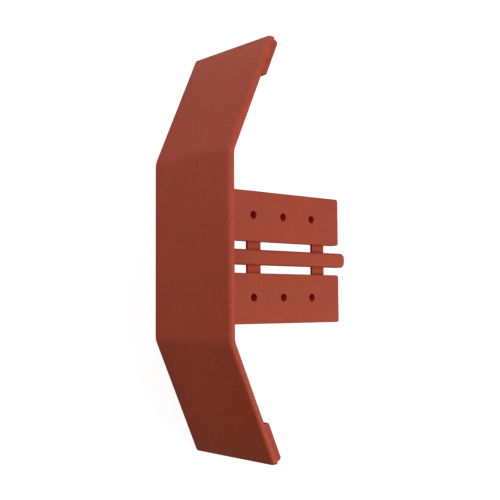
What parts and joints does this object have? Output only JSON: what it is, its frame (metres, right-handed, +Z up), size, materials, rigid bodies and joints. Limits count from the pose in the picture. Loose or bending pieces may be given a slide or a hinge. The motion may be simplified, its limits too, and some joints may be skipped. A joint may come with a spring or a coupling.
{
  "type": "dry verge eaves starter",
  "caption": "Cranked moulded cover plate with wings leaning back and a slotted nailing bracket at its edge, to start and close a dry verge at the eaves of a roof.",
  "frame": {"origin": "centre of the bounding box, on the plane of the plate's standing edge", "axes": "+X from the cover plate's outer face out along the bracket, +Y along the plate from wing tip to wing tip, +Z up from the standing edge to the bracket edge"},
  "size_m": [0.0618, 0.1642, 0.0475],
  "materials": {
    "terracotta_plastic": "terracotta through-coloured plastic, fine moulded grain outside, satin inside"
  },
  "bodies": {
    "root": {"eaves_starter": "terracotta_plastic"}
  },
  "joints": []
}
